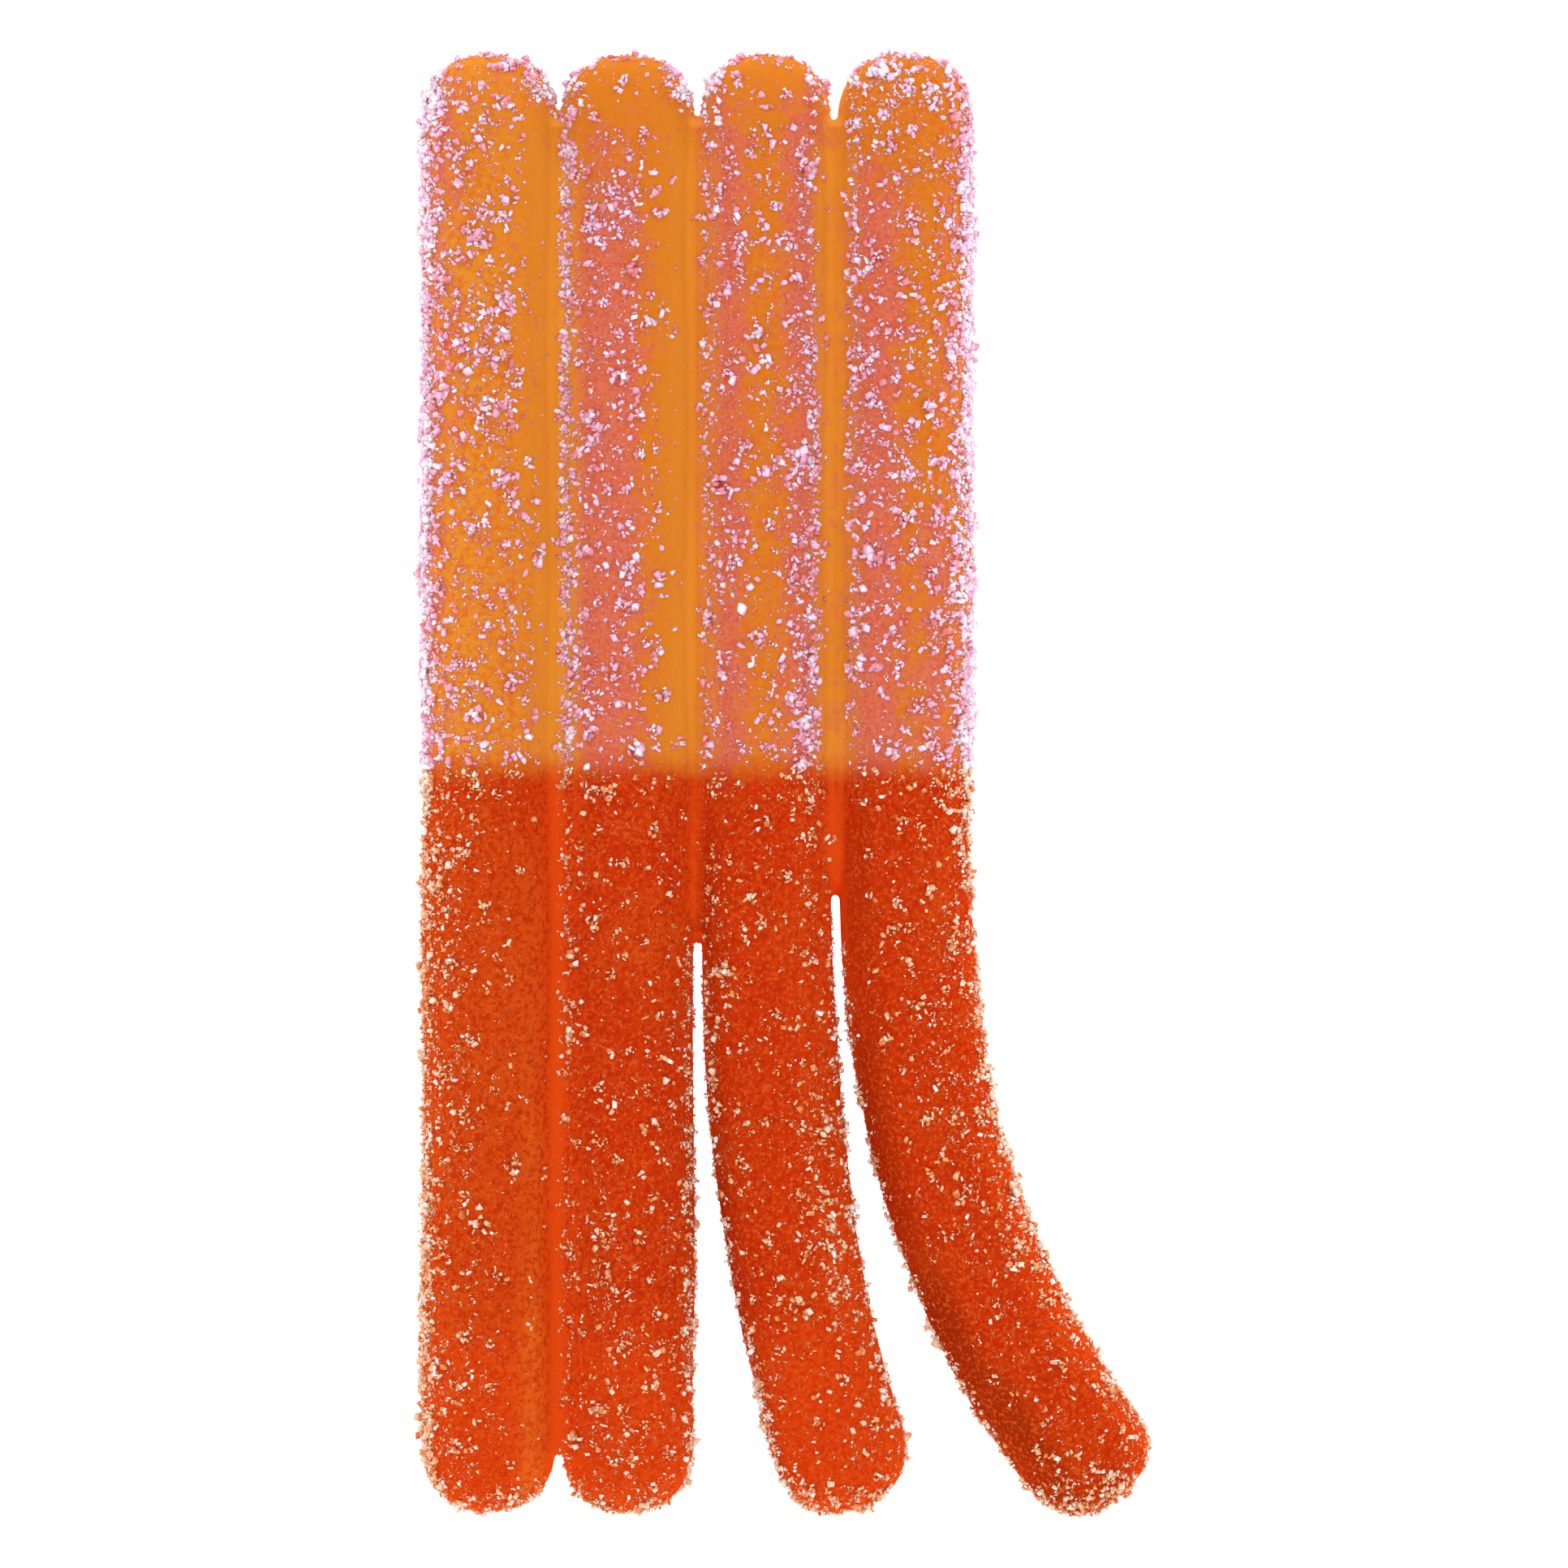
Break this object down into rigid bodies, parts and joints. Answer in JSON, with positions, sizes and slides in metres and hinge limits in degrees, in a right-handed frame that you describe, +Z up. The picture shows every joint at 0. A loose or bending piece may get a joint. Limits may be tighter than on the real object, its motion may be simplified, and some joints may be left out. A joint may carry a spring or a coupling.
{
  "type": "fizzy chew stick",
  "caption": "Flat fruit jelly stick of fused, sugar-coated strands, orange at one end and red at the other, with strands peeled apart at the red end.",
  "frame": {"origin": "bottom centre of the stick as it lies on its flat back", "axes": "+Y towards the orange end, along the strands; +X towards the side that the strands are peeled to; +Z up, out of the rounded side"},
  "size_m": [0.0426, 0.0846, 0.0077],
  "materials": {
    "jelly": "translucent jelly, orange at one end and red-orange at the other, coated in sugar",
    "pink_sugar": "sour sugar crystals of the orange end, tinted pink",
    "cream_sugar": "sour sugar crystals of the red end, cream"
  },
  "bodies": {
    "root": {"chew_stick": "jelly"}
  },
  "joints": []
}
